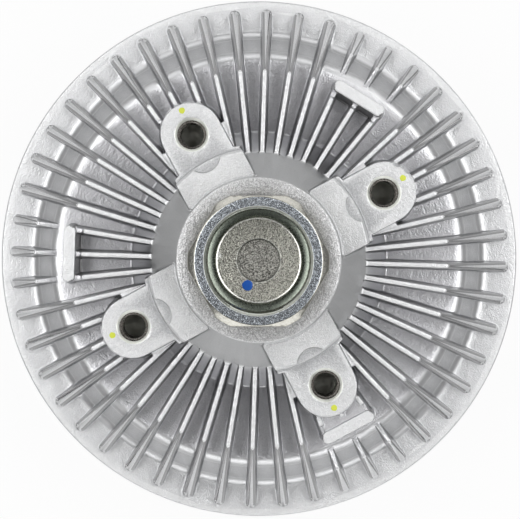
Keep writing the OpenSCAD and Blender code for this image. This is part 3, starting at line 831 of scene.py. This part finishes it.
@dataclass
class Housing:
    """Finned casting with four tapped fan pads, in millimetres."""

    outer_r: float = 0.42
    inner_r: float = 0.75
    # threads of the fan bolt holes
    thread_depth: float = 0.65
    thread_pitch: float = 1.25
    thread_columns: int = 32
    wall: Pair = (35.5, 46.2)
    mouth_slope: float = 1.3 / 1.5
    bore_r: float = 4.25
    tap_end_z: float = 36.0
    mouth_r: float = 5.0
    # heights of the casting's levels
    pad_z: float = 47.5
    arm_z: float = 51.0
    fin_z: float = 45.0
    base_z: float = 35.1
    flange_z: float = 28.0
    # radii at which its zones begin or end
    ring_r: float = 23.6
    cone_r: float = 30.9
    skirt_r: float = 75.0
    crest_r: float = 54.1
    band_r: Pair = (60.8, 64.6)
    round_r: Pair = (55.5, 69.5)
    pocket_r: Pair = (49.0, 54.0)
    # fall of a fin's sloped end for each millimetre outwards
    fin_slope: float = 0.8187
    # how far a zone reaches past its level or radius, over the rounded edge
    boss_edge: float = 1.0
    ring_edge: float = 0.5
    pad_edge: float = 0.4
    fin_edge: float = 0.6
    root_edge: float = 0.3
    pocket_edge: float = 0.8
    # tilts that part the zones, as shares of a face's normal
    level: float = 0.9
    arm_level: float = 0.97
    pad_tilt: float = 0.6
    side_tilt: float = 0.3
    end_tilt: Pair = (0.45, 0.8)
    band_tilt: float = 0.2
    round_tilt: Pair = (0.7, 0.955)
    round_out: float = 0.09
    # crowned middle of the fin ends, and the least area in square millimetres that has one
    shoulder: float = 0.32
    shoulder_h: float = 0.11
    least_end: float = 8.0
    # crowned face of the boss ring
    crown_r: Pair = (17.8, 23.1)
    crown_z: float = 52.0
    crown_h: float = 0.34
    crown_sunk: float = 0.1
    crown_steps: int = 6
    crown_turns: int = 120
    crown_lip: Sequence[Pair] = ((23.5, -0.9), (23.5, -0.42), (23.42, -0.2), (23.28, -0.07))
    bores: list[Thread] = field(default_factory=list)
    looks: Sequence[Look] = (
        Look.SKIN, Look.FLOOR, Look.WALL_SHADE, Look.TOPS, Look.BLAST, Look.CONE, Look.TAPPED_SHADE, Look.SLOPE_SHADE,
        Look.MOUTH, Look.ROUND, Look.FIN_END, Look.SHOULDER_SHADE, Look.POCKET_SHADE,
    )
    # paint dots: angle of the pad in degrees, then distances along and across it
    dot_r: float = 0.95
    dots: Sequence[tuple[float, float, float]] = (
        (0.0, 47.25, 1.2), (90.0, 47.86, -0.78), (180.0, 46.95, -0.74), (270.0, 47.39, -0.94)
    )

    def threads(self) -> list[Thread]:
        """Work out the threads of the fan bolt holes from their mount.

        Returns:
            The threads.
        """
        dims = mount("fan_bolts")["dims"]
        at = dims["pcd_mm"] / 2
        turns = [math.radians(360 / dims["count"] * k) for k in range(dims["count"])]
        return [
            Thread(
                at * math.cos(a), at * math.sin(a), dims["hole_r_mm"], self.thread_depth,
                self.thread_pitch, *self.wall, self.mouth_slope, columns=self.thread_columns
            )
            for a in turns
        ]

    def zone(self, spot: Spot) -> Look:
        """Pick the finish of a face.

        Args:
            spot: the face's place and normal.

        Returns:
            The finish.
        """
        r, z, up = spot.r, spot.place.z, spot.normal.z
        bore = min(thread.off_axis(spot.place * MM) for thread in self.bores)
        if bore < self.mouth_r and up < self.level:
            return Look.TAPPED_SHADE if bore < self.bore_r and z > self.tap_end_z else Look.MOUTH
        if r < self.ring_r and z > self.arm_z - self.ring_edge:
            return Look.CONE
        if z > self.pad_z - self.pad_edge and up > self.pad_tilt and r > self.ring_r - self.boss_edge:
            return Look.BLAST if r > self.cone_r or up > self.arm_level else Look.CONE
        if r < self.cone_r and z > self.fin_z - self.ring_edge:
            return Look.CONE
        sloped = self.sloped(spot)
        if sloped:
            return sloped
        if self.closes(spot):
            return Look.POCKET_SHADE
        if self.rounds(spot):
            return Look.ROUND
        if up > self.level:
            top = z > self.fin_z - self.fin_edge or z < self.flange_z + self.pad_edge
            return Look.TOPS if top else Look.FLOOR
        return Look.WALL_SHADE if abs(up) < self.side_tilt and r < self.skirt_r else Look.SKIN

    def sloped(self, spot: Spot) -> Look | None:
        """Pick the finish of a fin's sloped end, the painted shade of its shoulders or the painted shade of
        the steep band under the crest.

        Args:
            spot: the face's place and normal.

        Returns:
            The finish, or None on other faces.
        """
        r, z, up = spot.r, spot.place.z, spot.normal.z
        if up < self.side_tilt or r < self.crest_r - self.ring_edge or z < self.flange_z + self.root_edge:
            return None
        if abs(self.fin_z - (r - self.crest_r) * self.fin_slope - z) < self.fin_edge:
            if spot.across > self.side_tilt:
                return Look.SHOULDER_SHADE
            return Look.FIN_END if within(spot.outward, self.end_tilt) else None
        band = within(r, self.band_r) and abs(spot.outward - up) < self.band_tilt
        return Look.SLOPE_SHADE if band else None

    def closes(self, spot: Spot) -> bool:
        """Tell whether a face is on the side of a cast bar that closes the channels."""
        beside = within(spot.place.z, (self.base_z - self.fin_edge, self.fin_z - self.pocket_edge))
        return beside and within(spot.r, self.pocket_r) and -spot.outward > self.side_tilt

    def rounds(self, spot: Spot) -> bool:
        """Tell whether a face is on the wide round of the crest or of the flange's root."""
        tilted = within(spot.normal.z, self.round_tilt) and spot.outward > self.round_out
        return tilted and within(spot.r, self.round_r) and spot.place.z < self.base_z

    def crown_fins(self, piece: Object) -> None:
        """Raise the middle of each fin's sloped end a little, between sloped shoulders.

        Args:
            piece: the housing.
        """
        bm = bmesh.new()
        bm.from_mesh(piece.data)
        large = [f for f in bm.faces if f.calc_area() > self.least_end * MM ** 2]
        ends = [f for f in large if self.zone(Spot(f.calc_center_median() / MM, f.normal)) is Look.FIN_END]
        bmesh.ops.inset_individual(
            bm, faces=ends, thickness=self.shoulder * MM, depth=self.shoulder_h * MM, use_even_offset=True
        )
        bm.to_mesh(piece.data)
        bm.free()
        LOG.info("crowned %d fin ends", len(ends))

    def lay_crown(self) -> None:
        """Make the gently crowned face of the boss ring."""
        inner, outer = self.crown_r
        half = (outer - inner) / 2
        profile = list(self.crown_lip)
        for i in range(2 * self.crown_steps + 1):
            away = 1 - i / self.crown_steps
            profile.append((inner + half * (1 + away), self.crown_h * (1 - away * away)))
        profile.append((inner, -self.crown_sunk))
        points = [(r, self.crown_z + z) for r, z in profile]
        piece = spun("boss_crown", points, self.crown_turns)
        piece.data.materials.append(paint(Look.RING))
        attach(piece, "casing")
        LOG.info("crowned the boss ring")

    def build(self) -> None:
        """Make the housing and its paint marks."""
        self.bores = self.threads()
        copy = RoundedCopy("housing", self.outer_r, self.inner_r, threads=self.bores)
        piece = copy.build("housing_casting")
        self.crown_fins(piece)
        dress_zones(piece, self.looks, self.zone)
        stand_for(piece, "housing")
        self.lay_crown()
        for angle, along, across in self.dots:
            turn = math.radians(angle)
            x = along * math.cos(turn) - across * math.sin(turn)
            y = along * math.sin(turn) + across * math.cos(turn)
            dot = PaintDot(f"pad_mark_{angle:.0f}", x, y, self.pad_z, self.dot_r, Look.YELLOW)
            dot.build("casing", slot_of("housing"))


@dataclass
class Hub:
    """Plated hub shaft with its hexagon and threaded bore, in millimetres."""

    outer_r: float = 0.25
    inner_r: float = 0.20
    # thread of the bore and the chamfer at its mouth
    thread_depth: float = 0.75
    thread_pitch: float = 1.5
    thread_columns: int = 96
    mouth_slope: float = 0.9 / 0.911875
    mouth_h: float = 0.95
    mouth_tilt: float = 0.2
    bore_r: float = 15.2
    bore_drop: float = 3.0
    # face of the hexagon
    top_z: float = 72.0
    top_edge: float = 0.1
    top_level: float = 0.95
    # dished disc in the bore, with its rolled rim and its sunk centre
    disc_r: float = 12.3
    disc_z: float = 57.5
    disc_reach: Pair = (-2.0, 0.5)
    disc_slack: float = 0.05
    disc_tilt: float = 0.3
    dish_h: float = 1.1
    roll_r: float = 11.55
    roll: float = 0.5
    sink_r: float = 6.0
    sink_w: float = 0.4
    sink_h: float = 0.35
    # radii of the rings that follow the dish, as shares of the disc's radius
    rings: Sequence[float] = (
        0.994, 0.988, 0.982, 0.976, 0.97, 0.93, 0.86, 0.79, 0.72, 0.65, 0.58,
        0.545, 0.53, 0.52, 0.51, 0.5, 0.49, 0.47, 0.4, 0.3, 0.2, 0.1,
    )
    # curved floor of the groove round the disc
    bowl: Sequence[Pair] = (
        (12.5, 55.92), (13.0, 55.97), (13.5, 56.06), (14.0, 56.18), (14.5, 56.34),
        (15.2, 56.62), (15.2, 55.92),
    )
    bowl_turns: int = 96
    mark: Pair = (-6.04, -4.71)
    mark_r: float = 1.6
    looks: Sequence[Look] = (
        Look.HEX, Look.HEX_END, Look.BORE, Look.FORGED, Look.SUNK_SHADE, Look.MOUTH, Look.RIM_HIGHLIGHT,
    )

    def thread(self) -> Thread:
        """Work out the thread of the bore from its mount.

        Returns:
            The thread.
        """
        bore = mount("hub_thread")
        half = bore["dims"]["length_mm"] / 2
        middle = bore["pos_m"][2] / MM
        return Thread(
            0.0, 0.0, bore["dims"]["r_mm"], self.thread_depth, self.thread_pitch,
            middle - half, middle + half, self.mouth_slope, columns=self.thread_columns
        )

    def zone(self, spot: Spot) -> Look:
        """Pick the finish of a face.

        Args:
            spot: the face's place and normal.

        Returns:
            The finish.
        """
        r, z, up = spot.r, spot.place.z, spot.normal.z
        if up > self.top_level and z > self.top_z - self.top_edge:
            return Look.HEX_END
        if r < self.disc_r and within(z - self.disc_z, self.disc_reach) and up > self.disc_tilt:
            if r > self.roll_r:
                return Look.RIM_HIGHLIGHT
            return Look.FORGED if r > self.sink_r else Look.SUNK_SHADE
        if r < self.bore_r and z > self.disc_z - self.bore_drop:
            return Look.MOUTH if z > self.top_z - self.mouth_h and up > self.mouth_tilt else Look.BORE
        return Look.HEX

    def rise(self, r: float) -> float:
        """Work out the height of the forged disc's dished face.

        Args:
            r: the radius.

        Returns:
            The height over the dish's middle before it is sunk.
        """
        dish = self.dish_h * (r / self.disc_r) ** 2
        sunk = min(1.0, max(0.0, (self.sink_r + self.sink_w / 2 - r) / self.sink_w))
        rolled = self.roll * max(0.0, r - self.roll_r) ** 2
        return dish + rolled - self.sink_h * sunk * sunk * (3 - 2 * sunk)

    def dish(self, piece: Object) -> float:
        """Swap the disc's flat face for rings that follow its dish.

        Args:
            piece: the hub shaft.

        Returns:
            The height of the dish's middle before it is sunk.
        """
        bm = bmesh.new()
        bm.from_mesh(piece.data)
        level = [f for f in bm.faces if abs(f.calc_center_median().z / MM - self.disc_z) < self.disc_slack]
        flat = max(level, key=lambda f: len(f.verts))
        rim = list(flat.verts)
        bmesh.ops.delete(bm, geom=[flat], context="FACES_ONLY")
        base = self.rise(math.hypot(rim[0].co.x, rim[0].co.y) / MM)
        last = rim
        for share in self.rings:
            ring = []
            for vert in rim:
                x, y = vert.co.x * share, vert.co.y * share
                z = self.disc_z + self.rise(math.hypot(x, y) / MM) - base
                ring.append(bm.verts.new((x, y, z * MM)))
            for i, vert in enumerate(last):
                j = (i + 1) % len(last)
                bm.faces.new((vert, last[j], ring[j], ring[i])).smooth = True
            last = ring
        bm.faces.new(last).smooth = True
        bm.to_mesh(piece.data)
        bm.free()
        return self.disc_z - base

    def lay_bowl(self) -> None:
        """Make the curved floor of the groove round the disc, its greenish plating darkened with painted
        shade.
        """
        piece = spun("bore_floor", self.bowl, self.bowl_turns)
        piece.data.materials.append(paint(Look.GROOVE_SHADE))
        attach(piece, "drive")
        LOG.info("laid the bore floor")

    def build(self) -> None:
        """Make the hub shaft and its paint mark."""
        self.lay_bowl()
        copy = RoundedCopy("hub_shaft", self.outer_r, self.inner_r, threads=[self.thread()])
        piece = copy.build("hub_forging")
        low_z = self.dish(piece)
        dress_zones(piece, self.looks, self.zone)
        stand_for(piece, "hub_shaft")
        dot = PaintDot("bore_mark", *self.mark, low_z, self.mark_r, Look.BLUE, self.rise)
        dot.build("drive", slot_of("hub_shaft"))


@dataclass
class Cover:
    """Front cover with its fins, and the bimetal coil that it carries, in millimetres."""

    outer_r: float = 0.30
    inner_r: float = 0.50
    strip_outer_r: float = 0.12
    strip_inner_r: float = 0.1
    # radii between which the coil winds up
    coil_r: Pair = (5.2, 20.8)

    def coil(self) -> None:
        """Make the coil, which winds up between the valve shaft and its post."""
        piece = RoundedCopy("bimetal_coil", self.strip_outer_r, self.strip_inner_r).build("wound_strip")
        piece.data.materials.append(paint(Look.BIMETAL))
        low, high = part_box("bimetal_coil")
        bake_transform(piece, "casing", "valve", start=tuple(low), end=tuple(high))
        inner, outer = self.coil_r
        for vert, item in zip(piece.data.vertices, piece.data.attributes["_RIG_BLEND"].data):
            r = math.hypot(vert.co.x / MM, vert.co.y / MM)
            item.value = min(1.0, max(0.0, (outer - r) / (outer - inner)))
        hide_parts("bimetal_coil")
        LOG.info("wound the coil")

    def build(self) -> None:
        """Make the cover and the coil."""
        piece = RoundedCopy("cover", self.outer_r, self.inner_r).build("cover_casting")
        piece.data.materials.append(paint(Look.COVER))
        stand_for(piece, "cover")
        self.coil()


@dataclass
class InnerPieces:
    """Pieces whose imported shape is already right."""

    looks: ClassVar[dict[str, Look]] = {
        "rotor_aluminium": Look.ROTOR, "bearing_steel": Look.RACE, "ball_steel": Look.BALL,
        "cage_polymer": Look.CAGE, "valve_steel": Look.VALVE, "bimetal": Look.BIMETAL,
        "seal_rubber": Look.RUBBER, "housing_casting": Look.SKIN, "cover_casting": Look.COVER,
        "plated_steel": Look.HEX,
    }

    def build(self) -> None:
        """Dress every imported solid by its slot."""
        for node, obj in frame["nodes"].items():
            obj.data.materials.clear()
            obj.data.materials.append(paint(self.looks[slot_of(node)]))
            LOG.info("dressed %s", node)


@dataclass(frozen=True)
class SoftBox:
    """A lamp with a broad face: its angle in the picture and its tilt from overhead, sides and watts."""

    name: str
    angle: float
    tilt: float
    size: Pair
    power: float


@dataclass
class Studio:
    """Camera, floor and soft light, in metres and degrees."""

    turn: float = -28.15
    height: float = 0.600
    flange_z: float = 0.028
    offset: Pair = (0.00186, 0.00745)
    aim: Pair = (0.00032, -0.00012)
    # lens and sensor in millimetres
    lens: float = 140.95
    sensor: float = 36.0
    clip: Pair = (0.01, 20.0)
    white: Colour = (1.0, 1.0, 1.0)
    floor_half: float = 1.6
    floor_tone: Colour = (0.86, 0.86, 0.86)
    # how much of the floor's look is an even glow
    floor_glow: float = 0.93
    # sky: a stretch of heights and the strengths at its ends, near the horizon and overhead
    horizon: tuple[float, float, Pair] = (0.02, 0.14, (0.60, 0.20))
    overhead: tuple[float, float, Pair] = (0.88, 0.98, (1.0, 0.4))
    box_away: float = 0.9
    box_aim_z: float = 0.04
    boxes: Sequence[SoftBox] = (
        SoftBox("left_box", 169.0, 36.0, (0.5, 0.9), 3.5),
        SoftBox("right_box", 11.0, 36.0, (0.5, 0.9), 3.5),
        SoftBox("front_box", -90.0, 60.0, (0.35, 1.2), 2.2),
        SoftBox("back_box", 90.0, 58.0, (0.35, 1.2), 1.6),
    )

    def image_axes(self) -> tuple[Vector, Vector]:
        """Return the directions in the part that are right and up in the picture."""
        angles = math.radians(self.turn), math.radians(self.turn) + math.pi / 2
        return tuple(Vector((math.cos(a), math.sin(a), 0)) for a in angles)

    def stand(self, obj: Object, axes: Sequence[Vector], place: Vector) -> None:
        """Stand a camera or lamp at a place, with its axes along three directions."""
        obj.matrix_world = Matrix.Translation(place) @ Matrix(axes).transposed().to_4x4()

    def camera(self) -> None:
        """Place the camera over the hub, a little above the picture's middle."""
        right, up = self.image_axes()
        data = bpy.data.cameras.new("camera")
        data.lens = self.lens
        data.sensor_width = self.sensor
        data.sensor_fit = "HORIZONTAL"
        data.clip_start, data.clip_end = self.clip
        cam = placed("camera", data)
        place = right * self.offset[0] + up * self.offset[1] + Vector((0, 0, self.flange_z + self.height))
        target = right * self.aim[0] + up * self.aim[1] + Vector((0, 0, self.flange_z))
        back = (place - target).normalized()
        side = up.cross(back).normalized()
        self.stand(cam, (side, back.cross(side), back), place)
        bpy.context.scene.camera = cam

    def floor(self) -> None:
        """Lay a pale floor that shows near white and keeps the shadow."""
        mesh = bpy.data.meshes.new("floor")
        half = self.floor_half
        corners = [(-half, -half, 0), (half, -half, 0), (half, half, 0), (-half, half, 0)]
        mesh.from_pydata(corners, [], [(0, 1, 2, 3)])
        floor = placed("floor", mesh)
        mat = bpy.data.materials.new("pale_floor")
        mat.use_nodes = True
        graph = Graph(mat.node_tree)
        shade = graph.add("BsdfDiffuse", {"Color": self.floor_tone})
        glow = graph.add("Emission", {"Color": self.white, "Strength": 1.0})
        path = graph.add("LightPath")
        seen = graph.math("ADD", path.outputs["Is Camera Ray"], path.outputs["Is Glossy Ray"])
        seen = graph.math("ADD", seen, path.outputs["Is Transmission Ray"], clamp=True)
        share = graph.math("MULTIPLY", seen, self.floor_glow)
        blend = graph.add("MixShader", {0: share, 1: shade.outputs[0], 2: glow.outputs[0]})
        graph.add("OutputMaterial", {"Surface": blend.outputs[0]})
        mesh.materials.append(mat)

    def world(self) -> None:
        """Set a soft sky: bright at the horizon, grey above it, dim straight overhead."""
        world = bpy.data.worlds.new("studio")
        bpy.context.scene.world = world
        world.use_nodes = True
        graph = Graph(world.node_tree)
        sky = graph.add("TexCoord").outputs["Generated"]
        z = graph.add("SeparateXYZ", {0: sky}).outputs["Z"]
        rise = graph.spread(z, *self.horizon)
        dim = graph.spread(z, *self.overhead)
        back = graph.add("Background", {"Color": self.white, "Strength": graph.math("MULTIPLY", rise, dim)})
        graph.add("OutputWorld", {"Surface": back.outputs[0]})

    def lamp(self, box: SoftBox) -> None:
        """Hang one soft box that faces the part.

        Args:
            box: the lamp.
        """
        light = bpy.data.lights.new(box.name, "AREA")
        light.shape = "RECTANGLE"
        light.size, light.size_y = box.size
        light.energy = box.power
        turn = math.radians(box.angle + self.turn)
        lean = math.radians(box.tilt)
        away = Vector((math.sin(lean) * math.cos(turn), math.sin(lean) * math.sin(turn), math.cos(lean)))
        side = Vector((-math.sin(turn), math.cos(turn), 0))
        place = away * self.box_away + Vector((0, 0, self.box_aim_z))
        self.stand(placed(box.name, light), (side.cross(away), side, away), place)

    def build(self) -> None:
        """Set up everything round the part."""
        self.camera()
        self.floor()
        self.world()
        for box in self.boxes:
            self.lamp(box)


def main() -> None:
    """Build the studio and every sub-assembly."""
    logging.basicConfig(level=logging.INFO)
    bpy.context.scene.view_settings.view_transform = "Standard"
    Studio().build()
    for assembly in (InnerPieces(), Housing(), Hub(), Cover()):
        assembly.build()


if __name__ == "__main__":
    main()
